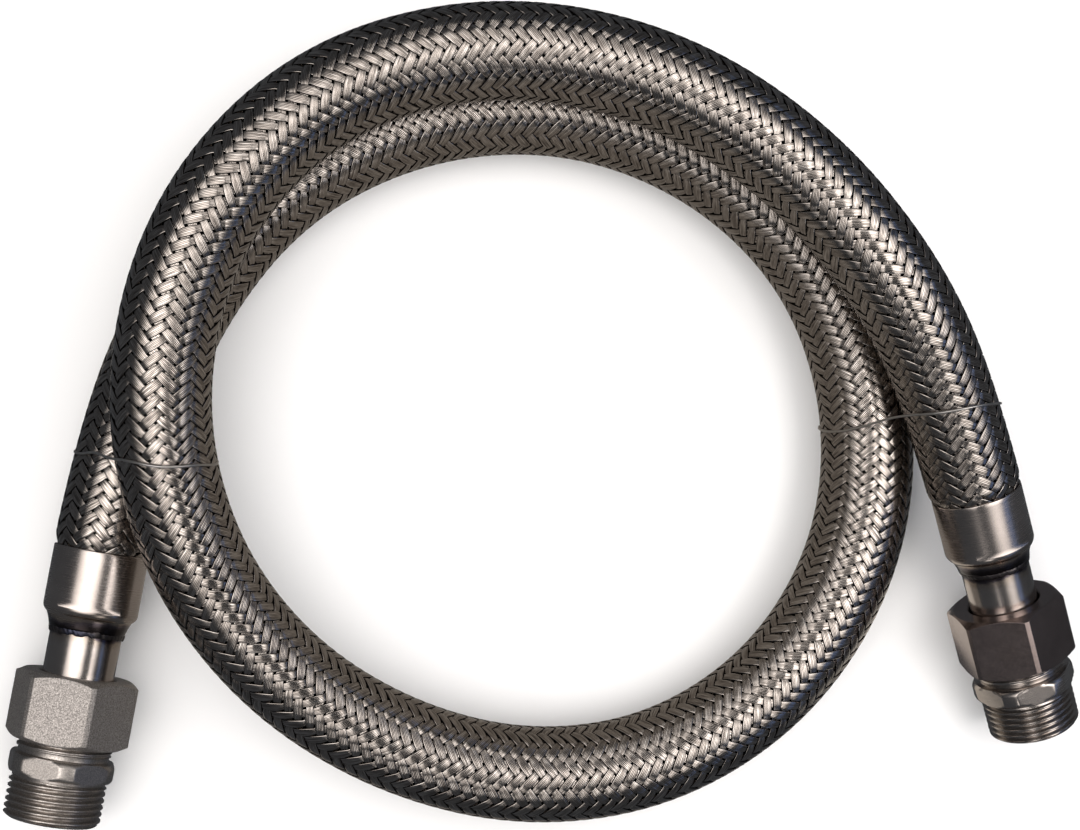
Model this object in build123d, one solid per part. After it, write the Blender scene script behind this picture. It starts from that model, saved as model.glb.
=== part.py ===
from build123d import *
import math
import os

os.makedirs("parts", exist_ok=True)

# ---------------------------------------------------------------- hose (mm)
HOSE_R = 16.85           # outside of the wire braid
BRAID_WALL = 0.5         # solid wall with the metal content of the woven wires
CORE_R = 14.6            # crests of the corrugated hose
CORE_WALL = 0.75         # solid wall with the metal content of the corrugated strip
GRIP_R = 15.3            # braid squeezed down inside the collars

# ---------------------------------------------------------------- end fittings
COLLAR_R = 16.25         # outside of the collar
COLLAR_WALL = 0.9
COLLAR_LEN = 21.5        # straight part, mouth to shoulder
SHOULDER_LEN = 7.0       # rounded shoulder down to the neck
NECK_R = 12.3            # tail tube, outside
TAIL_BORE_R = 10.7
NUT_T0 = 22.0            # nut's inner end, from the start of the shoulder
NUT_LEN = 23.4
NUT_AF = 38.0            # across flats
NUT_LIP = 5.0            # thickness of the lip that pulls on the tail flange
NUT_HOLE_R = 12.9
NUT_BORE_R = 16.7        # plain bore round the union thread
FLANGE_R = 16.0
FLANGE_LEN = 3.0
GASKET_LEN = 2.0
HEX_AF = 34.5            # adapter's hexagon
HEX_CORNER_R = 18.6      # its turned corners
HEX_T0 = 50.1
HEX_LEN = 7.0
THREAD_R = 16.62         # G1 pipe thread, major radius
THREAD_PITCH = 2.309
THREAD_DEPTH = 1.479
UNION_R = 16.3           # union thread inside the nut, major radius
END_T = 72.6             # adapter's free end
ADAPTER_BORE_R = 12.5
WIRE_R = 0.45            # binding wire
TIE_R = 17.4             # its centre line, round each hose run

# corner angles of the hexagons about each fitting's axis, from straight up
INLET_NUT_ANGLE = 19.5
OUTLET_NUT_ANGLE = -2.5
INLET_HEX_ANGLE = 10.0
OUTLET_HEX_ANGLE = 21.5

# route of the hose's centre line, from the inlet collar to the outlet collar
ROUTE = [
    (-156.42, -68.05, 20.0), (-146.20, -12.92, 18.5), (-126.18, 39.31, 17.8),
    (-91.65, 82.66, 17.4), (-42.22, 107.49, 17.2), (12.69, 111.56, 17.2),
    (64.25, 93.27, 17.2), (104.35, 56.58, 17.4), (123.22, 6.54, 17.8),
    (120.10, -47.26, 17.9), (93.82, -93.44, 17.9), (49.98, -123.03, 19.0),
    (-1.78, -129.93, 23.0), (-52.25, -116.23, 27.75), (-95.56, -86.76, 34.1),
    (-124.70, -43.05, 44.62), (-134.33, 10.78, 53.4), (-119.17, 66.87, 54.0),
    (-79.33, 109.83, 49.93), (-22.15, 127.49, 48.36), (36.99, 118.99, 49.32),
    (87.04, 88.80, 51.4), (123.49, 45.41, 53.6), (147.57, 0.58, 41.2),
    (163.80, -47.39, 30.7),
]
# shift that puts the origin under the middle of the fittings and binding wires
SHIFT = (-8.108, 67.663, 0.11)
ROUTE = [(x + SHIFT[0], y + SHIFT[1], z + SHIFT[2]) for x, y, z in ROUTE]

# binding wires: where the hose passes their plane, lower run then upper run
TIE_LEFT = ((-152.46, 54.88, 18.89), (-138.2, 55.03, 49.69), (0.02, 0.999, 0.06))
TIE_RIGHT = ((113.19, 67.04, 17.99), (136.31, 71.94, 43.69), (0.21, -0.975, -0.07))


def unit(v):
    n = math.sqrt(sum(c * c for c in v))
    return tuple(c / n for c in v)


def corner_radii(pts):
    radii = []
    for a, b, c in zip(pts, pts[1:], pts[2:]):
        u = Vector(*b) - Vector(*a)
        w = Vector(*c) - Vector(*b)
        turn = math.radians(u.get_angle(w))
        radii.append(0.45 * min(u.length, w.length) / math.tan(turn / 2))
    return radii


radii = corner_radii(ROUTE)
print("corner radii", [round(r) for r in radii])
with BuildLine() as route_line:
    FilletPolyline(*ROUTE, radius=radii)
route = route_line.wires()[0]
print("route length", round(route.length, 1))


def tube(outer, inner):
    start = Plane(origin=route @ 0, z_dir=route % 0)
    ring = start * (Circle(outer) - Circle(inner))
    return sweep(ring, path=route)


braid = tube(HOSE_R, HOSE_R - BRAID_WALL)
core = tube(CORE_R, CORE_R - CORE_WALL)
for name, s, ro, ri in (("braid", braid, HOSE_R, HOSE_R - BRAID_WALL),
                        ("core", core, CORE_R, CORE_R - CORE_WALL)):
    want = math.pi * (ro * ro - ri * ri) * route.length
    print(name, "volume ratio", round(s.volume / want, 4), s.is_valid)


# ---------------------------------------------------------------- fitting axes
def axis_plane(end):
    """Local z runs outward along the fitting from the start of the shoulder."""
    p, q = (ROUTE[0], ROUTE[1]) if end == "inlet" else (ROUTE[-1], ROUTE[-2])
    out = unit(tuple(a - b for a, b in zip(p, q)))
    # local x is level with the floor and local y is the upward side
    side = unit((-out[1], out[0], 0.0))
    return Plane(origin=p, x_dir=side, z_dir=out)


def profile_solid(points):
    """Solid of revolution about local z from (radius, t) points."""
    with BuildPart() as p:
        with BuildSketch(Plane.XZ):
            with BuildLine():
                Polyline(*points, close=True)
            make_face()
        revolve(axis=Axis.Z)
    return p.part


def collar():
    w = COLLAR_WALL
    pts = [(COLLAR_R, -COLLAR_LEN), (COLLAR_R, 0.0)]
    # rounded shoulder: quarter-round, then a short cone to the neck
    n = 8
    rr = 3.0
    for i in range(1, n + 1):
        a = math.radians(62) * i / n
        pts.append((COLLAR_R - rr * (1 - math.cos(a)), rr * math.sin(a)))
    pts.append((NECK_R + 1.0, SHOULDER_LEN - 1.2))
    pts.append((NECK_R + 0.45, SHOULDER_LEN - 0.3))
    pts.append((NECK_R, SHOULDER_LEN - 0.3))
    pts.append((NECK_R, SHOULDER_LEN - 2.3))
    pts.append((COLLAR_R - w - 1.2, 2.3))
    pts.append((COLLAR_R - w, 0.0))
    pts.append((COLLAR_R - w, -COLLAR_LEN))
    return profile_solid(pts)


def weld_bead():
    t = SHOULDER_LEN - 0.3
    r = NECK_R
    return profile_solid([(r, t), (r + 1.0, t), (r + 1.05, t + 0.5), (r + 0.8, t + 1.1),
                          (r + 0.35, t + 1.5), (r, t + 1.7)])


def tail_tube():
    t0 = 0.1
    tf = NUT_T0 + NUT_LIP + 0.3
    return profile_solid([(TAIL_BORE_R, t0), (CORE_R, t0), (CORE_R, t0 + 1.2), (NECK_R, t0 + 1.2), (NECK_R, tf), (FLANGE_R, tf),
                          (FLANGE_R, tf + FLANGE_LEN), (TAIL_BORE_R, tf + FLANGE_LEN)])


GASKET_T = NUT_T0 + NUT_LIP + 0.3 + FLANGE_LEN + 0.1
ADAPTER_T = GASKET_T + GASKET_LEN


def gasket():
    return profile_solid([(13.2, GASKET_T), (15.6, GASKET_T), (15.6, ADAPTER_T), (13.2, ADAPTER_T)])


def grooved(major, t_start, t_end, first, count):
    """Outside profile of a thread from t_start to t_end, as rings at the pitch."""
    pts = []
    minor = major - THREAD_DEPTH
    half_root, half_crest = 0.18, 0.42
    flank = (THREAD_PITCH - 2 * half_root - 2 * half_crest) / 2
    for i in range(count):
        c = first + i * THREAD_PITCH
        pts += [(major, c - half_root - flank), (minor, c - half_root),
                (minor, c + half_root), (major, c + half_root + flank)]
    return [p for p in pts if t_start < p[1] < t_end]


def hexagon(af, corner_r, t0, length, angle, chamfer):
    circ = af / 2 / math.cos(math.pi / 6)
    with BuildPart() as p:
        with BuildSketch(Plane.XY.offset(t0)):
            # angle is measured from local y (up) towards local x
            RegularPolygon(circ, 6, rotation=90.0 - angle)
        extrude(amount=length)
    lim = profile_solid([(0, t0), (corner_r - chamfer[0], t0), (corner_r, t0 + chamfer[1]),
                         (corner_r, t0 + length - chamfer[1]),
                         (corner_r - chamfer[0], t0 + length), (0, t0 + length)])
    return p.part & lim


def union_nut(angle):
    circ = NUT_AF / 2 / math.cos(math.pi / 6)
    h = hexagon(NUT_AF, circ - 0.5, NUT_T0, NUT_LEN, angle, (3.0, 1.7))
    cut = profile_solid([(0, NUT_T0 - 1), (NUT_HOLE_R + 0.6, NUT_T0 - 1), (NUT_HOLE_R + 0.6, NUT_T0),
                         (NUT_HOLE_R, NUT_T0 + 0.6),
                         (NUT_HOLE_R, NUT_T0 + NUT_LIP), (NUT_BORE_R, NUT_T0 + NUT_LIP),
                         (NUT_BORE_R, NUT_T0 + NUT_LEN - 0.8), (NUT_BORE_R + 0.8, NUT_T0 + NUT_LEN),
                         (NUT_BORE_R + 0.8, NUT_T0 + NUT_LEN + 1), (0, NUT_T0 + NUT_LEN + 1)])
    return h - cut


def union_adapter(angle):
    minor = THREAD_R - THREAD_DEPTH
    hx1 = HEX_T0 + HEX_LEN
    # union-thread side
    left = [(ADAPTER_BORE_R, ADAPTER_T), (UNION_R - 1.3, ADAPTER_T), (UNION_R, ADAPTER_T + 1.0)]
    left += grooved(UNION_R, ADAPTER_T + 1.0, HEX_T0 - 0.6, ADAPTER_T + 2.6, 6)
    left += [(UNION_R, HEX_T0 - 1.0), (minor + 0.6, HEX_T0 - 0.7), (minor + 0.6, HEX_T0 + 0.5)]
    right = [(minor + 0.6, hx1 - 0.5), (minor + 0.6, hx1 + 0.5), (THREAD_R, hx1 + 0.9)]
    right += grooved(THREAD_R, hx1 + 0.9, END_T - 1.0, hx1 + 1.9, 6)
    right += [(THREAD_R, END_T - 1.0), (THREAD_R - 1.3, END_T), (ADAPTER_BORE_R, END_T)]
    shaft = profile_solid(left + right)
    h = hexagon(HEX_AF, HEX_CORNER_R, HEX_T0, HEX_LEN, angle, (1.3, 1.2))
    h = h - profile_solid([(0, HEX_T0 - 1), (ADAPTER_BORE_R, HEX_T0 - 1),
                           (ADAPTER_BORE_R, hx1 + 1), (0, hx1 + 1)])
    return shaft + h


def grip_sleeve():
    """Braid end squeezed down inside the collar, with the step at its mouth."""
    return profile_solid([(GRIP_R - 0.6, -COLLAR_LEN - 2.5), (HOSE_R - 0.2, -COLLAR_LEN - 2.5),
                          (HOSE_R - 0.2, -COLLAR_LEN - 0.1), (GRIP_R, -COLLAR_LEN),
                          (GRIP_R, 0.3), (GRIP_R - 0.6, 0.3)])


def grip_room():
    """Everything round the fitting's axis inside the collar, which the full-size braid stays out of."""
    return profile_solid([(0, -COLLAR_LEN), (24, -COLLAR_LEN), (24, 6), (0, 6)])


def binding_wire(spec):
    low, high, normal = spec
    low, high, n = Vector(*low), Vector(*high), Vector(*unit(normal))
    d = high - low
    d = d - n * d.dot(n)
    pl = Plane(origin=low, x_dir=d.normalized(), z_dir=n)
    gap = d.length
    r_low = r_high = TIE_R
    # closed loop: half round the lower run, straight, half round the upper run, straight
    with BuildLine(pl) as loop:
        Line((0, r_low), (gap, r_high))
        ThreePointArc((gap, r_high), (gap + r_high, 0), (gap, -r_high))
        Line((gap, -r_high), (0, -r_low))
        ThreePointArc((0, -r_low), (-r_low, 0), (0, r_low))
    w = loop.wires()[0]
    start = Plane(origin=w @ 0, z_dir=w % 0)
    return sweep(start * Circle(WIRE_R), path=w)


nodes = {"wire_braid": braid, "corrugated_core": core}
mounts = {}
for end, nut_angle, hex_angle in (("inlet", INLET_NUT_ANGLE, INLET_HEX_ANGLE),
                                  ("outlet", OUTLET_NUT_ANGLE, OUTLET_HEX_ANGLE)):
    pl = axis_plane(end)
    for nm, solid in (("collar", collar()), ("weld_bead", weld_bead()), ("tail_tube", tail_tube()),
                      ("union_nut", union_nut(nut_angle)),
                      ("union_adapter", union_adapter(hex_angle)), ("gasket", gasket())):
        nodes[end + "_" + nm] = pl * solid
    z = pl.z_dir
    hx1 = HEX_T0 + HEX_LEN
    print(end, "axis", tuple(round(c, 6) for c in tuple(z)), "origin",
          tuple(round(c, 3) for c in tuple(pl.origin)), "x", tuple(round(c, 4) for c in tuple(pl.x_dir)),
          "y", tuple(round(c, 4) for c in tuple(pl.y_dir)))
    for label, t in (("thread_mid", (hx1 + 0.9 + END_T - 1.0) / 2), ("bore_mid", (ADAPTER_T + END_T) / 2),
                     ("nut_mid", NUT_T0 + NUT_LEN / 2), ("end", END_T)):
        c = pl.origin + z * t
        print("   ", label, round(t, 3), tuple(round(v / 1000, 6) for v in tuple(c)))
    print("    thread length", round(END_T - 1.0 - hx1 - 0.9, 3), "bore length", round(END_T - ADAPTER_T, 3))

    nodes["wire_braid"] = nodes["wire_braid"] - pl * grip_room() + pl * grip_sleeve()

nodes["tie_wire_left"] = binding_wire(TIE_LEFT)
nodes["tie_wire_right"] = binding_wire(TIE_RIGHT)

box = None
for name, solid in nodes.items():
    solid = solid.solids()[0] if len(solid.solids()) == 1 else solid
    if name not in ("wire_braid", "corrugated_core"):
        b = solid.bounding_box()
        box = b if box is None else box.add(b)
    bb = solid.bounding_box()
    print(name, "solids", len(solid.solids()), "valid", solid.is_valid, "z", round(bb.min.Z, 3), round(bb.max.Z, 3),
          "x", round(bb.min.X, 1), round(bb.max.X, 1), "y", round(bb.min.Y, 1), round(bb.max.Y, 1),
          "cm3", round(solid.volume / 1000, 2))
    export_step(solid, "parts/" + name + ".step")
core_mass = 7.9 * nodes["corrugated_core"].volume / 1e6
braid_mass = 7.9 * nodes["wire_braid"].volume / 1e6
print("core kg", round(core_mass, 3), "braid kg", round(braid_mass, 3))
print("fittings box", box.min, box.max, "centre", (box.min.X + box.max.X) / 2, (box.min.Y + box.max.Y) / 2)
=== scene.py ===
import bpy, math
import numpy as np
from mathutils import Vector, Matrix


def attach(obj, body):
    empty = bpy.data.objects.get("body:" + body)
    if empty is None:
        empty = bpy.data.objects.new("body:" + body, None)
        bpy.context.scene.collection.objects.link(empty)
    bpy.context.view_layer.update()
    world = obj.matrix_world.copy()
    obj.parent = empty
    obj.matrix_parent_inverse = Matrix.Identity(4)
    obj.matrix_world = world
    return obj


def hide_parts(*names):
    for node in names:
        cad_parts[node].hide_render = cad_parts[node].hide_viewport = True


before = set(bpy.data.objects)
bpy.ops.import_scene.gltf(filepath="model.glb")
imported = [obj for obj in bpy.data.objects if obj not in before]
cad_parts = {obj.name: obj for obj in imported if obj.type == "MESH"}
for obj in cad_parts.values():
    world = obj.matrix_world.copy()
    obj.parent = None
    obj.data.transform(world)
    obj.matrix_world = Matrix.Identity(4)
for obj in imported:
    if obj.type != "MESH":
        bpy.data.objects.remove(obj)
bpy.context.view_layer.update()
MM = 0.001

# ------------------------------------------------------------------ camera
SHIFT = np.array((-8.108, 67.663, 0.11))
CAM_H, CAM_TILT = 760.0, math.radians(8.3)
target = np.array((0.0, 0.0, 25.0)) + SHIFT
eye = target + np.array((-CAM_H * math.sin(CAM_TILT), 0.0, CAM_H * math.cos(CAM_TILT)))
fwd = (target - eye) / np.linalg.norm(target - eye)
right = np.cross(fwd, (0.0, 1.0, 0.0)); right /= np.linalg.norm(right)
up = np.cross(right, fwd)
cam_data = bpy.data.cameras.new("camera")
cam = bpy.data.objects.new("camera", cam_data)
bpy.context.scene.collection.objects.link(cam)
rot = Matrix((right, up, -fwd)).transposed()
cam.matrix_world = Matrix.Translation(Vector(eye * MM)) @ rot.to_4x4()
cam_data.sensor_width = 36.0
cam_data.lens = 36.0 * (CAM_H / 0.354) / 1080.0
cam_data.clip_start, cam_data.clip_end = 0.01, 50.0
bpy.context.scene.camera = cam

# ------------------------------------------------------------------ hose route
ROUTE = [
    (-156.42, -68.05, 20.0), (-146.20, -12.92, 18.5), (-126.18, 39.31, 17.8),
    (-91.65, 82.66, 17.4), (-42.22, 107.49, 17.2), (12.69, 111.56, 17.2),
    (64.25, 93.27, 17.2), (104.35, 56.58, 17.4), (123.22, 6.54, 17.8),
    (120.10, -47.26, 17.9), (93.82, -93.44, 17.9), (49.98, -123.03, 19.0),
    (-1.78, -129.93, 23.0), (-52.25, -116.23, 27.75), (-95.56, -86.76, 34.1),
    (-124.70, -43.05, 44.62), (-134.33, 10.78, 53.4), (-119.17, 66.87, 54.0),
    (-79.33, 109.83, 49.93), (-22.15, 127.49, 48.36), (36.99, 118.99, 49.32),
    (87.04, 88.80, 51.4), (123.49, 45.41, 53.6), (147.57, 0.58, 41.2),
    (163.80, -47.39, 30.7),
]
ROUTE = [((x + SHIFT[0]) * MM, (y + SHIFT[1]) * MM, (z + SHIFT[2]) * MM) for x, y, z in ROUTE]

route_curve = bpy.data.curves.new("hose_route", "CURVE")
route_curve.dimensions = "3D"
sp = route_curve.splines.new("NURBS")
sp.points.add(len(ROUTE) - 1)
for pt, co in zip(sp.points, ROUTE):
    pt.co = (*co, 1.0)
sp.order_u = 3
sp.use_endpoint_u = True
sp.resolution_u = 96
route_obj = bpy.data.objects.new("hose_route", route_curve)
bpy.context.scene.collection.objects.link(route_obj)
bpy.context.view_layer.update()
dg = bpy.context.evaluated_depsgraph_get()
line_mesh = bpy.data.meshes.new_from_object(route_obj.evaluated_get(dg))
LINE = np.array([v.co for v in line_mesh.vertices]) / MM       # mm from here on
bpy.data.objects.remove(route_obj)
keep = np.r_[True, np.linalg.norm(np.diff(LINE, axis=0), axis=1) > 1e-4]
LINE = LINE[keep]
ARC = np.r_[0, np.cumsum(np.linalg.norm(np.diff(LINE, axis=0), axis=1))]
TOTAL = float(ARC[-1])


def normalise(a):
    return a / np.linalg.norm(a, axis=-1, keepdims=True)


# rotation-minimising frame along the line
TAN = normalise(np.gradient(LINE, ARC, axis=0))
NOR = np.zeros_like(TAN)
ref = np.array((0.0, 0.0, 1.0))
NOR[0] = normalise(ref - TAN[0] * (ref @ TAN[0]))
for i in range(len(LINE) - 1):
    v1 = LINE[i + 1] - LINE[i]
    c1 = v1 @ v1
    rl = NOR[i] - (2 / c1) * (v1 @ NOR[i]) * v1
    tl = TAN[i] - (2 / c1) * (v1 @ TAN[i]) * v1
    v2 = TAN[i + 1] - tl
    c2 = v2 @ v2
    NOR[i + 1] = rl - (2 / c2) * (v2 @ rl) * v2 if c2 > 1e-18 else rl
NOR = normalise(NOR - TAN * (NOR * TAN).sum(1, keepdims=True))
BIN = np.cross(TAN, NOR)


def at_line(s):
    """Centre, normal and binormal at arc lengths s (any shape)."""
    out = []
    for arr in (LINE, NOR, BIN):
        out.append(np.stack([np.interp(s, ARC, arr[:, k]) for k in range(3)], -1))
    return out


def tube_points(s, th, r):
    c, n, b = at_line(s)
    return c + r[..., None] * (np.cos(th)[..., None] * n + np.sin(th)[..., None] * b)


# ------------------------------------------------------------------ mesh helpers
def new_mesh(name, verts_mm, quads, attrs=None, smooth=True, tris=None):
    me = bpy.data.meshes.new(name)
    nv, nq = len(verts_mm), len(quads)
    nt = 0 if tris is None else len(tris)
    me.vertices.add(nv)
    me.vertices.foreach_set("co", (np.asarray(verts_mm, np.float64) * MM).astype(np.float32).ravel())
    loops = np.asarray(quads, np.int32).ravel()
    starts = np.arange(nq, dtype=np.int32) * 4
    totals = np.full(nq, 4, np.int32)
    if nt:
        loops = np.r_[loops, np.asarray(tris, np.int32).ravel()]
        starts = np.r_[starts, nq * 4 + np.arange(nt, dtype=np.int32) * 3]
    me.loops.add(len(loops))
    me.loops.foreach_set("vertex_index", loops.astype(np.int32))
    me.polygons.add(nq + nt)
    me.polygons.foreach_set("loop_start", starts.astype(np.int32))
    me.update(calc_edges=True)
    me.validate()
    for key, val in (attrs or {}).items():
        val = np.asarray(val, np.float32)
        kind = "FLOAT" if val.ndim == 1 else "FLOAT_VECTOR"
        a = me.attributes.new(key, kind, "POINT")
        a.data.foreach_set("value" if kind == "FLOAT" else "vector", val.ravel())
    if smooth:
        me.polygons.foreach_set("use_smooth", np.ones(nq + nt, bool))
    ob = bpy.data.objects.new(name, me)
    bpy.context.scene.collection.objects.link(ob)
    return ob


def grid_quads(nu, nv, wrap_v=False, base=0):
    i = np.arange(nu - 1)[:, None]
    j = np.arange(nv if wrap_v else nv - 1)[None, :]
    jn = (j + 1) % nv
    q = np.stack(np.broadcast_arrays(i * nv + j, (i + 1) * nv + j, (i + 1) * nv + jn, i * nv + jn), -1)
    return q.reshape(-1, 4) + base


# ------------------------------------------------------------------ hose numbers
HOSE_R = 16.85
STRANDS = 18                   # each way round
LEAD = 82.8                    # axial advance in one turn
STRAND_W = 3.12                # bundle width
WIRE_T = 0.36
COLLAR_LEN = 21.5
W_AX = 2 * math.pi / LEAD
SWING = 0.27                   # how far a bundle rises and dips in the weave
RM = HOSE_R - WIRE_T / 2 - SWING
PACK = []


def hose_mid_radius(s):
    """Middle of the two layers: squeezed down inside the collars."""
    e = np.minimum(s, TOTAL - s)
    k = np.clip((e - (COLLAR_LEN - 2.0)) / 6.5, 0, 1)
    k = k * k * (3 - 2 * k)
    return (RM - 1.6) + 1.6 * k


def weave(phase):
    """+1 over, -1 under; floats over two crossings, centred on phase 0.5 (period 4)."""
    c = np.cos((phase - 0.5) * math.pi / 2)
    return np.tanh(2.0 * c) / math.tanh(2.0)


# columns of floats run along the hose; this sets which column faces up on the left side
ref_i = int(np.argmin(np.linalg.norm(LINE - (np.array((-134.33, 10.78, 53.4)) + SHIFT), axis=1)))
up_angle = math.atan2(BIN[ref_i][2], NOR[ref_i][2])
PHASE0 = 0.5 - STRANDS * (math.radians(-10.5) + up_angle) / math.pi
rng = np.random.default_rng(7)
PER = 18                                     # rows per four crossings
n_rows = int(round((TOTAL - 6.0) / (LEAD / 9) * PER)) + 1
S_ROWS = np.linspace(3.0, TOTAL - 3.0, n_rows)
TOP = 9
vv = np.linspace(-1, 1, TOP)                 # across the bundle
crown = (1 - vv ** 4) * 0.05
XV = np.r_[vv, vv[-1], vv[0]]
HV = np.r_[WIRE_T / 2 - 0.05 + crown, -WIRE_T / 2 + 0.03, -WIRE_T / 2 + 0.03]
RING = len(XV)
BETA = math.atan(W_AX * RM)


def strand(k, sign):
    wig = 0.10 * np.interp(S_ROWS, np.linspace(0, TOTAL, 160), rng.normal(0, 1, 160))
    half = STRAND_W / 2 * (1 + 0.03 * rng.normal())
    s0 = S_ROWS[:, None] + 0 * XV[None]
    th0 = 2 * math.pi * k / STRANDS + sign * W_AX * S_ROWS[:, None]
    # step across the bundle: perpendicular to the strand on the unrolled tube
    # the bundle draws in a little where it crosses from over to under
    mid = weave(k + STRANDS * (th0 + sign * W_AX * s0) / (2 * math.pi) + PHASE0)
    v = XV[None] * half * (1 - 0.19 * (1 - mid ** 2)) + wig[:, None]
    s = s0 - sign * v * math.sin(BETA)
    th = th0 + v * math.cos(BETA) / RM
    s = np.clip(s, 0.2, TOTAL - 0.2)
    # crossing phase of every point against the other family
    if sign > 0:
        other = STRANDS * (th + W_AX * s) / (2 * math.pi)
        w = weave(k + other + PHASE0)
    else:
        other = STRANDS * (th - W_AX * s) / (2 * math.pi)
        w = -weave(k + other + PHASE0)
    top = np.broadcast_to(HV[None], w.shape)
    r = hose_mid_radius(s) + SWING * w + top
    p = tube_points(s, th, r)
    att = np.stack([S_ROWS[:, None] / math.cos(BETA) * MM + 0 * v, XV[None] + 0 * v,
                    np.full_like(v, rng.uniform(0, 50))], -1)
    return p.reshape(-1, 3), att.reshape(-1, 3), w.ravel()


braid = []
GROUP = 3
strand_q = grid_quads(n_rows, RING, wrap_v=True)
for sign, fam in ((1, "right"), (-1, "left")):
    for g in range(STRANDS // GROUP):
        P, A, Q = [], [], []
        for m in range(GROUP):
            p, a, w = strand(g * GROUP + m, sign)
            Q.append(strand_q + m * len(p))
            P.append(p); A.append(a)
        ob = new_mesh(f"braid_{fam}_{g + 1}", np.concatenate(P), np.concatenate(Q)[:, ::-1],
                      {"strand": np.concatenate(A)})
        braid.append(ob)

# corrugated inner hose
CORR_P = 3.6
n_c = int(TOTAL / CORR_P * 6)
sc = np.linspace(0.5, TOTAL - 0.5, n_c)
nth = 40
thc = np.linspace(0, 2 * math.pi, nth, endpoint=False)
e = np.minimum(sc, TOTAL - sc)
crest = np.where(e > COLLAR_LEN + 3, 15.6, 14.2)
rc = crest - 0.9 + 0.9 * np.cos(2 * math.pi * sc / CORR_P)
Sg, Tg = np.meshgrid(sc, thc, indexing="ij")
pc = tube_points(Sg, Tg, rc[:, None] + 0 * Tg)
core = new_mesh("corrugated_hose", pc.reshape(-1, 3), grid_quads(n_c, nth, True)[:, ::-1])

for ob in braid + [core]:
    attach(ob, "hose")
for ob in braid:
    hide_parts("wire_braid")
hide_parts("corrugated_core")


# ------------------------------------------------------------------ fittings
def fitting_axes(end):
    p, q = (ROUTE[0], ROUTE[1]) if end == "inlet" else (ROUTE[-1], ROUTE[-2])
    p, q = np.array(p) / MM, np.array(q) / MM
    z = normalise(p - q)
    x = normalise(np.array((-z[1], z[0], 0.0)))
    return p, x, np.cross(z, x), z


def lathe(name, end, profile, segs=96, closed=True, rfun=None):
    """profile: (r, t) points; rfun(r, t, theta) may vary the radius."""
    o, x, y, z = fitting_axes(end)
    r = np.array([p[0] for p in profile])[:, None]
    t = np.array([p[1] for p in profile])[:, None]
    th = np.linspace(0, 2 * math.pi, segs, endpoint=False)[None]
    rr, tt, hh = r + 0 * th, t + 0 * th, th + 0 * r
    if rfun:
        rr, tt = rfun(rr, tt, hh)
    p = o + (rr * np.cos(hh))[..., None] * x + (rr * np.sin(hh))[..., None] * y + tt[..., None] * z
    n = len(profile)
    q = grid_quads(n, segs, True)
    if closed:
        j = np.arange(segs)
        jn = (j + 1) % segs
        q = np.r_[q, np.stack([(n - 1) * segs + j, j, jn, (n - 1) * segs + jn], -1)]
    att = np.stack([tt * MM, hh, rr * MM], -1).reshape(-1, 3)
    ob = new_mesh(name, p.reshape(-1, 3), q[:, ::-1], {"turned": att})
    return ob


def sharp_by_angle(ob, deg=35):
    me = ob.data
    me.set_sharp_from_angle(angle=math.radians(deg))


def arc_profile(r0, t0, r1, t1, bulge, n=10):
    """Points from (r0,t0) to (r1,t1) along a bulged line."""
    out = []
    for i in range(1, n + 1):
        f = i / n
        b = bulge * 4 * f * (1 - f)
        dx, dy = t1 - t0, r1 - r0
        L = math.hypot(dx, dy)
        out.append((r0 + dy * f + b * dx / L, t0 + dx * f - b * dy / L))
    return out


COLLAR_R = 16.25
NECK_R = 12.3


def collar(end):
    pr = [(15.5, -COLLAR_LEN + 0.05), (COLLAR_R - 0.18, -COLLAR_LEN), (COLLAR_R - 0.05, -COLLAR_LEN + 0.12),
          (COLLAR_R, -COLLAR_LEN + 0.35)]
    pr += [(COLLAR_R, t) for t in np.linspace(-COLLAR_LEN + 1.5, -1.2, 12)]
    # rounded shoulder
    for i in range(0, 13):
        a = math.radians(58) * i / 12
        pr.append((COLLAR_R - 3.4 * (1 - math.cos(a)), -1.2 + 3.4 * math.sin(a)))
    pr += arc_profile(pr[-1][0], pr[-1][1], 13.1, 6.1, -0.12, 8)
    pr += [(12.75, 6.5), (12.35, 6.6), (12.32, 4.4), (14.3, 1.6), (15.35, -0.6), (15.4, -COLLAR_LEN + 0.6)]

    def dents(r, t, h):
        ph = 0.6 if end == "inlet" else 2.1
        out = r > 15.55
        r = r + np.where(out, 0.035 * np.sin(2 * h + ph) + 0.02 * np.sin(3 * h + t * 0.15 + ph), 0)
        return np.minimum(r, COLLAR_R + 0.05), t

    ob = lathe(end + "_collar_shell", end, pr, 144, rfun=dents)
    sharp_by_angle(ob, 40)
    return ob


def weld(end):
    n = 14
    pr = []
    for i in range(n + 1):
        a = math.pi * i / n
        pr.append((12.35 + 0.85 * math.sin(a) * (0.75 + 0.25 * math.cos(a)), 6.75 - 1.25 * math.cos(a)))
    pr.append((12.0, 7.9)); pr.append((12.0, 5.6))
    seed = 3 if end == "inlet" else 11
    rg = np.random.default_rng(seed)
    k = 46
    jit = rg.normal(0, 1, (3, k))

    def ripple(r, t, h):
        u = h / (2 * math.pi) * k
        i0 = np.floor(u).astype(int) % k
        f = u - np.floor(u)
        f = f * f * (3 - 2 * f)
        j0, j1, j2 = (jit[m][i0] * (1 - f) + jit[m][(i0 + 1) % k] * f for m in range(3))
        out = r > 12.3
        bump = 0.10 * np.abs(np.sin(u * math.pi + 0.9 * (t - 6.8))) + 0.08 * j0
        r2 = r + np.where(out, bump, 0)
        t2 = t + np.where(out, 0.22 * j1 + 0.25 * np.sin(h * 2 + seed) + 0.12 * j2 * (r - 12.3), 0)
        return r2, t2

    return lathe(end + "_weld_ring", end, pr, 288, rfun=ripple)


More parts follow.
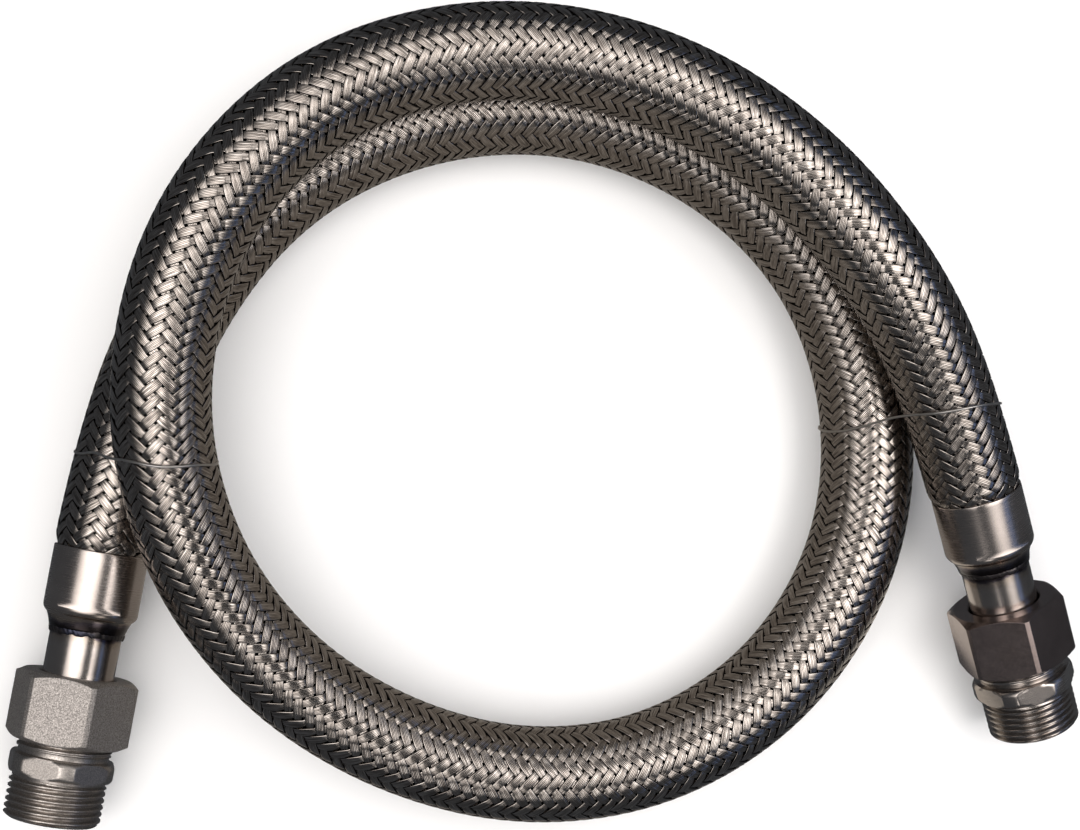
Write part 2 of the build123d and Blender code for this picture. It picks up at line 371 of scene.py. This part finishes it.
def tail(end):
    tf = 27.3
    pr = [(NECK_R, 2.0), (NECK_R, 6.0), (NECK_R, 9.0), (NECK_R, 14.0), (NECK_R, 20.0), (NECK_R, tf - 0.6), (12.8, tf),
          (15.9, tf), (16.0, tf + 0.2), (16.0, tf + 2.8), (15.9, tf + 3.0), (10.9, tf + 3.0), (10.7, tf + 2.8),
          (10.7, 2.2), (10.8, 2.0)]
    ob = lathe(end + "_neck_tube", end, pr, 128)
    sharp_by_angle(ob, 40)
    return ob


HEX_T0, HEX_LEN, END_T = 50.1, 7.0, 72.6
THREAD_R, PITCH, DEPTH = 16.62, 2.309, 1.479
UNION_R = 16.3
ADAPTER_T = 32.4


def thread_r(t, h, t_a, t_b, run_a, run_b, phase, major=THREAD_R):
    """Helical thread radius between t_a and t_b, with run-outs of length run_a / run_b."""
    u = (t - phase - PITCH * h / (2 * math.pi)) / PITCH
    f = np.abs(((u % 1.0) - 0.5) * 2)                     # 1 at crest, 0 at root
    prof = np.clip((f - 0.10) / 0.72, 0, 1)
    prof = prof * 0.75 + 0.25 * prof * prof * (3 - 2 * prof)
    depth = DEPTH * np.clip((t - t_a) / run_a, 0, 1) * np.clip((t_b - t) / run_b, 0, 1)
    return major - depth * (1 - prof)


def adapter(end, hex_deg):
    segs = 216
    hx1 = HEX_T0 + HEX_LEN
    apo = 17.25
    a0 = math.radians(90.0 - hex_deg)

    def hex_r(h):
        d = (h - a0 + math.pi / 6) % (math.pi / 3) - math.pi / 6     # from the nearest corner
        return apo / np.cos(math.pi / 6 - np.abs(d))

    rows = []          # (t, kind, radius)
    rows += [(ADAPTER_T, "r", 13.0), (ADAPTER_T, "r", UNION_R - 1.5)]
    for t in np.arange(ADAPTER_T + 0.2, HEX_T0 - 1.9, PITCH / 14):
        rows.append((t, "u", 0))
    rows += [(HEX_T0 - 1.8, "r", 15.7), (HEX_T0 - 1.2, "r", 15.55), (HEX_T0 - 0.25, "r", 15.6), (HEX_T0, "r", 16.0)]
    for t, c in ((0.02, 17.0), (0.12, 17.4), (0.7, 18.0), (1.3, 18.45), (1.9, 18.6), (3.5, 18.6), (5.1, 18.6), (5.7, 18.45),
                 (6.3, 18.0), (6.88, 17.4), (6.98, 17.0)):
        rows.append((HEX_T0 + t, "h", c))
    rows += [(hx1, "r", 16.3), (hx1 + 0.15, "r", 15.75), (hx1 + 0.9, "r", 15.6), (hx1 + 1.15, "r", 15.75)]
    for t in np.arange(hx1 + 1.3, END_T - 0.55, PITCH / 16):
        rows.append((t, "m", 0))
    rows += [(END_T - 0.5, "c", THREAD_R - 1.05), (END_T - 0.2, "c", THREAD_R - 1.5), (END_T - 0.02, "r", 14.8), (END_T, "r", 14.5),
             (END_T, "r", 12.9), (END_T - 0.3, "r", 12.55), (END_T - 1.0, "r", 12.5), (ADAPTER_T + 0.4, "r", 12.5)]
    prof = [(1.0, t) for t, _, _ in rows]

    def rf(r, t, h):
        out = np.zeros_like(r)
        for i, (ti, k, v) in enumerate(rows):
            hh = h[i]
            if k in "rc":
                out[i] = v
            elif k == "h":
                out[i] = np.minimum(hex_r(hh), v)
            elif k == "u":
                out[i] = np.minimum(thread_r(ti, hh, ADAPTER_T - 3, HEX_T0 - 1.9, 1.0, 1.2, 0.4, UNION_R),
                                    UNION_R - 1.3 + 1.15 * (ti - ADAPTER_T))
            else:
                base = thread_r(ti, hh, hx1 + 0.6, END_T + 3, 1.2, 1.0, 1.1)
                base = np.minimum(base, 15.75 + 1.3 * (ti - hx1 - 1.15))
                out[i] = np.minimum(base, THREAD_R - 1.0 + 1.2 * (END_T - 0.45 - ti))
        return out, t

    ob = lathe(end + "_thread_nipple", end, prof, segs, rfun=rf)
    sharp_by_angle(ob, 42)
    return ob


turned = {}
for end, hex_deg in (("inlet", 10.0), ("outlet", 21.5)):
    c, w, t, a = collar(end), weld(end), tail(end), adapter(end, hex_deg)
    turned[end] = (c, w, t, a)
    for ob, body, node, slot_name in ((c, "hose", "_collar", "collar"), (w, "hose", "_weld_bead", "weld"),
                                      (t, "hose", "_tail_tube", "tail"), (a, end + "_adapter", "_union_adapter", "adapter")):
        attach(ob, body)
        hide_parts(end + node)


# ------------------------------------------------------------------ binding wires
def wire_tube(name, pts, r=0.45, seg=10):
    pts = np.asarray(pts)
    n = len(pts)
    tg = normalise(np.gradient(pts, axis=0))
    nr = np.zeros_like(tg)
    a = np.cross(tg[0], (0.3, 0.2, 0.9)); nr[0] = a / np.linalg.norm(a)
    for i in range(1, n):
        v = nr[i - 1] - tg[i] * (nr[i - 1] @ tg[i])
        nr[i] = v / np.linalg.norm(v)
    bn = np.cross(tg, nr)
    th = np.linspace(0, 2 * math.pi, seg, endpoint=False)
    p = pts[:, None] + r * (np.cos(th)[None, :, None] * nr[:, None] + np.sin(th)[None, :, None] * bn[:, None])
    q = grid_quads(n, seg, True)
    verts = p.reshape(-1, 3)
    base = len(verts)
    verts = np.r_[verts, pts[:1], pts[-1:]]
    j = np.arange(seg); jn = (j + 1) % seg
    tris = np.r_[np.stack([np.full(seg, base), j, jn], -1),
                 np.stack([np.full(seg, base + 1), (n - 1) * seg + jn, (n - 1) * seg + j], -1)]
    s = np.r_[0, np.cumsum(np.linalg.norm(np.diff(pts, axis=0), axis=1))]
    att = np.stack([np.repeat(s, seg) * MM, np.tile(th, n), 0 * np.repeat(s, seg)], -1)
    att = np.r_[att, att[:1], att[-1:]]
    return new_mesh(name, verts, q[:, ::-1], {"turned": att}, tris=tris[:, ::-1])


def tie(name, low, high, normal, sway):
    low, high = np.array(low), np.array(high)
    n = normalise(np.array(normal))
    d = high - low
    d = d - n * (d @ n)
    gap = np.linalg.norm(d)
    x = d / gap
    y = np.cross(n, x)
    r = 17.4
    pts = []
    arc = math.pi * r
    loop = 2 * gap + 2 * arc
    m = 360
    # starts under the upper run, goes all the way round and ends past its start
    for i in range(m + 1):
        u = (0.62 + i / m) * loop % loop
        if u < gap:
            p = (u, r)
        elif u < gap + arc:
            a = math.pi / 2 - (u - gap) / r
            p = (gap + r * math.cos(a), r * math.sin(a))
        elif u < 2 * gap + arc:
            p = (gap - (u - gap - arc), -r)
        else:
            a = -math.pi / 2 - (u - 2 * gap - arc) / r
            p = (r * math.cos(a), r * math.sin(a))
        side = sway(u / loop)
        pts.append(low + x * p[0] + y * p[1] + n * side)
    return np.array(pts), x, y, n


def sway_left(f):
    return 0.9 * math.sin(2 * math.pi * f * 2 + 0.6) + 0.35 * math.sin(2 * math.pi * f * 7)


def sway_right(f):
    return 1.6 * math.sin(2 * math.pi * f * 2 + 2.2) + 0.4 * math.sin(2 * math.pi * f * 5 + 1)


ties = []
for name, spec, fun in (("left", ((-152.46, 54.88, 18.89), (-138.2, 55.03, 49.69), (0.02, 0.999, 0.06)), sway_left),
                        ("right", ((113.19, 67.04, 17.99), (136.31, 71.94, 43.69), (0.21, -0.975, -0.07)), sway_right)):
    pts, x, y, n = tie("tie_" + name, *spec, fun)
    ob = wire_tube("binding_wire_" + name, pts)
    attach(ob, "hose")
    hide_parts("tie_wire_" + name)
    ties.append(ob)


# ------------------------------------------------------------------ materials
def material(name):
    m = bpy.data.materials.new(name)
    m.use_nodes = True
    nt = m.node_tree
    return m, nt, nt.nodes["Principled BSDF"]


def node(nt, kind, **kw):
    n = nt.nodes.new(kind)
    for k, v in kw.items():
        if k in n.bl_rna.properties:
            setattr(n, k, v)
        else:
            n.inputs[k.replace("_", " ")].default_value = v
    return n


def math_node(nt, op, a, b=None, clamp=False):
    n = nt.nodes.new("ShaderNodeMath")
    n.operation = op
    n.use_clamp = clamp
    for i, v in enumerate((a, b)):
        if v is None:
            continue
        if isinstance(v, (int, float)):
            n.inputs[i].default_value = v
        else:
            nt.links.new(v, n.inputs[i])
    return n.outputs[0]


def ramp(nt, fac, stops):
    n = nt.nodes.new("ShaderNodeValToRGB")
    el = n.color_ramp.elements
    while len(el) < len(stops):
        el.new(0.5)
    for e_, (p, c) in zip(el, stops):
        e_.position = p
        e_.color = (*c, 1.0)
    nt.links.new(fac, n.inputs[0])
    return n.outputs[0]


def braid_material():
    m, nt, b = material("woven_steel_wire")
    b.inputs["Metallic"].default_value = 1.0
    at = node(nt, "ShaderNodeAttribute", attribute_name="strand")
    sep = node(nt, "ShaderNodeSeparateXYZ")
    nt.links.new(at.outputs["Vector"], sep.inputs[0])
    along, across, ident = sep.outputs
    # six parallel wires across the bundle
    wpos = math_node(nt, "MULTIPLY", math_node(nt, "ADD", across, 1.0), 3.0)
    fr = math_node(nt, "FRACT", wpos)
    # height of a round wire: 1 - t^2
    t_ = math_node(nt, "MULTIPLY", math_node(nt, "SUBTRACT", fr, 0.5), 2.0)
    prof = math_node(nt, "SUBTRACT", 1.0, math_node(nt, "MULTIPLY", t_, t_))
    idx = math_node(nt, "FLOOR", wpos)
    # a tone of its own for each wire, drifting slowly along it
    comb = node(nt, "ShaderNodeCombineXYZ")
    nt.links.new(math_node(nt, "MULTIPLY", along, 150.0), comb.inputs[0])
    nt.links.new(math_node(nt, "MULTIPLY", idx, 3.7), comb.inputs[1])
    nt.links.new(ident, comb.inputs[2])
    nz = node(nt, "ShaderNodeTexNoise", Scale=1.0, Detail=2.0, Roughness=0.6)
    nt.links.new(comb.outputs[0], nz.inputs["Vector"])
    tone = ramp(nt, nz.outputs["Fac"], [(0.30, (0.195, 0.172, 0.155)), (0.5, (0.40, 0.361, 0.330)), (0.68, (0.58, 0.537, 0.500))])
    # painted shade: each wire's colour falls to near black at its two edges, in the grooves between neighbouring wires,
    # and the wire's tone is multiplied by it
    painted_groove_shade = ramp(nt, prof, [(0.0, (0.03, 0.027, 0.025)), (0.3, (0.50, 0.49, 0.48)), (0.65, (1.0, 1.0, 1.0))])
    mix = node(nt, "ShaderNodeMix", data_type="RGBA", blend_type="MULTIPLY")
    mix.inputs["Factor"].default_value = 1.0
    nt.links.new(tone, mix.inputs["A"])
    nt.links.new(painted_groove_shade, mix.inputs["B"])
    nt.links.new(mix.outputs["Result"], b.inputs["Base Color"])
    rz = ramp(nt, nz.outputs["Fac"], [(0.3, (0.20,) * 3), (0.7, (0.11,) * 3)])
    nt.links.new(rz, b.inputs["Roughness"])
    bump = node(nt, "ShaderNodeBump", Strength=0.6)
    bump.inputs["Distance"].default_value = 0.00006
    nt.links.new(prof, bump.inputs["Height"])
    nt.links.new(bump.outputs[0], b.inputs["Normal"])
    return m


def steel(name, base, rough, kind):
    """Procedural stainless steel. kind: collar, neck, nut, grain, satin, thread, weld, core, wire."""
    m, nt, b = material(name)
    b.inputs["Metallic"].default_value = 1.0
    co = node(nt, "ShaderNodeTexCoord")
    obj = co.outputs["Object"]
    big = node(nt, "ShaderNodeTexNoise", Scale=60.0, Detail=5.0, Roughness=0.6)
    nt.links.new(obj, big.inputs["Vector"])
    fine = node(nt, "ShaderNodeTexNoise", Scale=900.0, Detail=3.0, Roughness=0.7)
    nt.links.new(obj, fine.inputs["Vector"])
    base = np.array(base)
    col = ramp(nt, big.outputs["Fac"], [(0.3, tuple(base * 0.82)), (0.7, tuple(np.minimum(base * 1.12, 1)))])
    height, dist = fine.outputs["Fac"], 0.00002
    if kind in ("collar", "neck", "thread"):
        at = node(nt, "ShaderNodeAttribute", attribute_name="turned")
        sep = node(nt, "ShaderNodeSeparateXYZ")
        nt.links.new(at.outputs["Vector"], sep.inputs[0])
        # fine turning or polishing lines round the axis
        cmb = node(nt, "ShaderNodeCombineXYZ")
        nt.links.new(math_node(nt, "MULTIPLY", sep.outputs[0], 9000.0), cmb.inputs[0])
        nt.links.new(math_node(nt, "MULTIPLY", sep.outputs[1], 1.2), cmb.inputs[1])
        lines = node(nt, "ShaderNodeTexNoise", Scale=1.0, Detail=2.0, Roughness=0.6)
        nt.links.new(cmb.outputs[0], lines.inputs["Vector"])
        height, dist = lines.outputs["Fac"], 0.000008
        rz = ramp(nt, lines.outputs["Fac"], [(0.3, (rough * 0.8,) * 3), (0.7, (rough * 1.25,) * 3)])
        nt.links.new(rz, b.inputs["Roughness"])
        if kind in ("collar", "neck"):
            # heat tint: straw then blue towards the weld at t = 6.8 mm
            d = math_node(nt, "ABSOLUTE", math_node(nt, "SUBTRACT", sep.outputs[0], 0.0068))
            wob = math_node(nt, "MULTIPLY", math_node(nt, "SUBTRACT", big.outputs["Fac"], 0.5), 0.008)
            dd = math_node(nt, "MULTIPLY", math_node(nt, "ADD", d, wob), 100.0)
            if kind == "collar":
                stops = [(0.0, (0.05, 0.045, 0.05)), (0.20, (0.09, 0.08, 0.085)), (0.32, (0.26, 0.24, 0.28)),
                         (0.44, (0.82, 0.75, 0.66)), (0.75, (1.0, 0.98, 0.96))]
            else:
                stops = [(0.0, (0.08, 0.07, 0.08)), (0.12, (0.22, 0.20, 0.24)), (0.22, (0.86, 0.80, 0.72)),
                         (0.5, (1.0, 0.98, 0.96))]
            tint = ramp(nt, dd, stops)
            mx = node(nt, "ShaderNodeMix", data_type="RGBA", blend_type="MULTIPLY")
            mx.inputs["Factor"].default_value = 1.0
            nt.links.new(col, mx.inputs["A"])
            nt.links.new(tint, mx.inputs["B"])
            col = mx.outputs["Result"]
    elif kind == "satin":
        # turned threads, and a satin face on the hexagon
        vor = node(nt, "ShaderNodeTexNoise", Scale=2100.0, Detail=3.0, Roughness=0.8)
        nt.links.new(obj, vor.inputs["Vector"])
        height, dist = vor.outputs["Fac"], 0.00005
        col = ramp(nt, vor.outputs["Fac"], [(0.36, tuple(base * 0.72)), (0.5, tuple(base)), (0.64, tuple(np.minimum(base * 1.4, 1)))])
        rz = ramp(nt, vor.outputs["Fac"], [(0.35, (rough * 1.2,) * 3), (0.65, (rough * 0.8,) * 3)])
        nt.links.new(rz, b.inputs["Roughness"])
    elif kind == "grain":
        # cast or tumbled satin with bright sparkles
        b.inputs["Metallic"].default_value = 0.88
        vor = node(nt, "ShaderNodeTexNoise", Scale=2100.0, Detail=3.0, Roughness=0.8)
        nt.links.new(obj, vor.inputs["Vector"])
        height, dist = vor.outputs["Fac"], 0.0002
        col = ramp(nt, vor.outputs["Fac"], [(0.36, tuple(base * 0.60)), (0.5, tuple(base)), (0.64, tuple(np.minimum(base * 1.6, 1)))])
        rz = ramp(nt, vor.outputs["Fac"], [(0.35, (rough * 1.15,) * 3), (0.65, (rough * 0.75,) * 3)])
        nt.links.new(rz, b.inputs["Roughness"])
    elif kind == "weld":
        height, dist = big.outputs["Fac"], 0.0002
        rz = ramp(nt, fine.outputs["Fac"], [(0.3, (0.30,) * 3), (0.7, (0.55,) * 3)])
        nt.links.new(rz, b.inputs["Roughness"])
        col = ramp(nt, big.outputs["Fac"], [(0.3, (0.025, 0.022, 0.025)), (0.5, (0.08, 0.072, 0.072)), (0.62, (0.05, 0.055, 0.085)),
                                            (0.8, (0.22, 0.20, 0.18))])
    else:
        rz = ramp(nt, fine.outputs["Fac"], [(0.3, (rough * 0.85,) * 3), (0.7, (rough * 1.2,) * 3)])
        nt.links.new(rz, b.inputs["Roughness"])
    nt.links.new(col, b.inputs["Base Color"])
    bump = node(nt, "ShaderNodeBump", Strength=0.5)
    bump.inputs["Distance"].default_value = dist
    nt.links.new(height, bump.inputs["Height"])
    if kind in ("grain", "nut"):
        # edges a little rounded by wear
        bev = nt.nodes.new("ShaderNodeBevel")
        bev.samples = 4
        bev.inputs["Radius"].default_value = 0.0006 if kind == "grain" else 0.0002
        nt.links.new(bev.outputs[0], bump.inputs["Normal"])
    nt.links.new(bump.outputs[0], b.inputs["Normal"])
    return m


def give(ob, mat):
    ob.data.materials.clear()
    ob.data.materials.append(mat)


def give_node(name, mat):
    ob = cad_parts[name]
    if not ob.material_slots:
        ob.data.materials.append(mat)
    for sl in ob.material_slots:
        sl.material = mat


m_braid = braid_material()
for ob in braid:
    give(ob, m_braid)
# painted shade: the inner hose, really bright stainless, is coloured near black so the gaps between the braid's strands
# show as dark shade
give(core, steel("corrugated_steel_painted_dark", (0.10, 0.095, 0.09), 0.4, "core"))
m_collar = steel("polished_collar_steel", (0.47, 0.428, 0.405), 0.23, "collar")
m_neck = steel("turned_neck_steel", (0.47, 0.432, 0.410), 0.20, "neck")
m_weld = steel("weld_steel", (0.2, 0.18, 0.17), 0.4, "weld")
m_thread = steel("threaded_steel", (0.45, 0.410, 0.382), 0.22, "thread")
m_satin = steel("satin_threaded_steel", (0.42, 0.388, 0.363), 0.36, "satin")
m_wire = steel("annealed_wire_steel", (0.50, 0.48, 0.46), 0.35, "wire")
for end in ("inlet", "outlet"):
    c, w, t, a = turned[end]
    give(c, m_collar); give(w, m_weld); give(t, m_neck); give(a, m_satin if end == "inlet" else m_thread)
for ob in ties:
    give(ob, m_wire)
give_node("inlet_union_nut", steel("grained_nut_steel", (0.315, 0.292, 0.275), 0.50, "grain"))
give_node("outlet_union_nut", steel("smooth_nut_steel", (0.335, 0.272, 0.255), 0.22, "nut"))


def gasket_material():
    m, nt, b = material("sealing_fibre")
    co = node(nt, "ShaderNodeTexCoord")
    nz = node(nt, "ShaderNodeTexNoise", Scale=1500.0, Detail=4.0)
    nt.links.new(co.outputs["Object"], nz.inputs["Vector"])
    nt.links.new(ramp(nt, nz.outputs["Fac"], [(0.3, (0.55, 0.54, 0.50)), (0.7, (0.74, 0.73, 0.68))]), b.inputs["Base Color"])
    b.inputs["Roughness"].default_value = 0.7
    return m


m_gasket = gasket_material()
for end in ("inlet", "outlet"):
    give_node(end + "_gasket", m_gasket)

# ------------------------------------------------------------------ stage and light
bpy.context.scene.view_settings.view_transform = "Standard"
fm = bpy.data.meshes.new("floor")
S = 6.0
fm.from_pydata([(-S, -S, 0), (S, -S, 0), (S, S, 0), (-S, S, 0)], [], [(0, 1, 2, 3)])
floor = bpy.data.objects.new("floor", fm)
bpy.context.scene.collection.objects.link(floor)
floor.location.z = -0.0003
fmat, nt, b = material("pale_floor")
b.inputs["Base Color"].default_value = (0.88, 0.88, 0.88, 1)
b.inputs["Roughness"].default_value = 0.9
fm.materials.append(fmat)
floor.visible_glossy = False

world = bpy.data.worlds.new("studio")
bpy.context.scene.world = world
world.use_nodes = True
bg = world.node_tree.nodes["Background"]
bg.inputs[0].default_value = (0.80, 0.86, 0.95, 1)
bg.inputs[1].default_value = 0.095
# a pale backdrop where a low view looks past the floor; the metal keeps the dim room
pale = world.node_tree.nodes.new("ShaderNodeBackground")
pale.inputs[0].default_value = (0.80, 0.81, 0.82, 1)
pale.inputs[1].default_value = 0.75
lp = world.node_tree.nodes.new("ShaderNodeLightPath")
both = world.node_tree.nodes.new("ShaderNodeMixShader")
world.node_tree.links.new(lp.outputs["Is Camera Ray"], both.inputs[0])
world.node_tree.links.new(bg.outputs[0], both.inputs[1])
world.node_tree.links.new(pale.outputs[0], both.inputs[2])
world.node_tree.links.new(both.outputs[0], world.node_tree.nodes["World Output"].inputs["Surface"])


def panel(name, x0, x1, y0, y1, z, radiance, colour=(1, 1, 1), lean=0.0, spread=180.0):
    """A soft flat lamp looking straight down, not seen by the camera."""
    d = bpy.data.lights.new(name, "AREA")
    d.shape = "RECTANGLE"
    d.size, d.size_y = x1 - x0, y1 - y0
    d.energy = radiance * math.pi * (x1 - x0) * (y1 - y0)
    d.color = colour
    o = bpy.data.objects.new(name, d)
    bpy.context.scene.collection.objects.link(o)
    o.location = ((x0 + x1) / 2, (y0 + y1) / 2, z)
    o.rotation_euler = (0.0, math.radians(lean), 0.0)
    d.spread = math.radians(spread)
    o.visible_camera = False
    return o


WARM = (1.0, 0.955, 0.92)
# windows that the metal mirrors
panel("soft_left", -0.60, -0.06, -0.65, 0.80, 0.5, 0.70, WARM, -15.0, 80.0)
panel("soft_right", 0.16, 0.55, -0.65, 0.80, 0.5, 0.67, WARM, 20.0, 66.0)
panel("soft_back", -0.06, 0.16, 0.17, 0.85, 0.5, 1.5, WARM)
panel("soft_front", -0.06, 0.16, -0.85, -0.45, 0.5, 1.6, WARM)
panel("cool_strip", 0.64, 1.0, -0.9, 1.0, 0.5, 0.35, (0.25, 0.45, 1.0))
# a broad lamp for the floor alone
wide = panel("soft_wide", -5.0, 5.0, -5.0, 5.0, 2.2, 0.66)
wide.visible_glossy = False

# a low grey-brown reflector inside the loop, seen only in the metal
dm = bpy.data.meshes.new("reflector")
nr, ns_ = 8, 48
dv, dq = [], []
for i in range(nr + 1):
    a = math.pi / 2 * i / nr
    for j in range(ns_):
        h = 2 * math.pi * j / ns_
        dv.append((0.085 * math.cos(a) * math.cos(h), 0.085 * math.cos(a) * math.sin(h), 0.09 * math.sin(a)))
for i in range(nr):
    for j in range(ns_):
        dq.append((i * ns_ + j, i * ns_ + (j + 1) % ns_, (i + 1) * ns_ + (j + 1) % ns_, (i + 1) * ns_ + j))
for j in range(ns_):
    h = 2 * math.pi * j / ns_
    dv.append((0.16 * math.cos(h), 0.16 * math.sin(h), 0.0))
base_ = (nr + 1) * ns_
for j in range(ns_):
    dq.append((base_ + j, base_ + (j + 1) % ns_, (j + 1) % ns_, j))
dm.from_pydata(dv, [], dq)
reflector = bpy.data.objects.new("reflector", dm)
bpy.context.scene.collection.objects.link(reflector)
reflector.location = (-0.012, 0.062, 0.0)
rm_, nt, b = material("reflector_card")
b.inputs["Base Color"].default_value = (0.0, 0.0, 0.0, 1)
b.inputs["Emission Color"].default_value = (0.95, 0.86, 0.76, 1)
b.inputs["Emission Strength"].default_value = 0.26
dm.materials.append(rm_)
reflector.visible_camera = False
reflector.visible_diffuse = False
reflector.visible_shadow = False

cm = bpy.data.meshes.new("small_card")
cm.from_pydata([(0.122, -0.075, 0.001), (0.146, -0.075, 0.001), (0.146, 0.0, 0.001), (0.122, 0.0, 0.001)], [], [(0, 1, 2, 3)])
card = bpy.data.objects.new("small_card", cm)
bpy.context.scene.collection.objects.link(card)
cmat, nt, b = material("small_card")
b.inputs["Base Color"].default_value = (0.0, 0.0, 0.0, 1)
b.inputs["Emission Color"].default_value = (0.95, 0.88, 0.78, 1)
b.inputs["Emission Strength"].default_value = 0.75
cm.materials.append(cmat)
card.visible_camera = False
card.visible_diffuse = False
card.visible_shadow = False
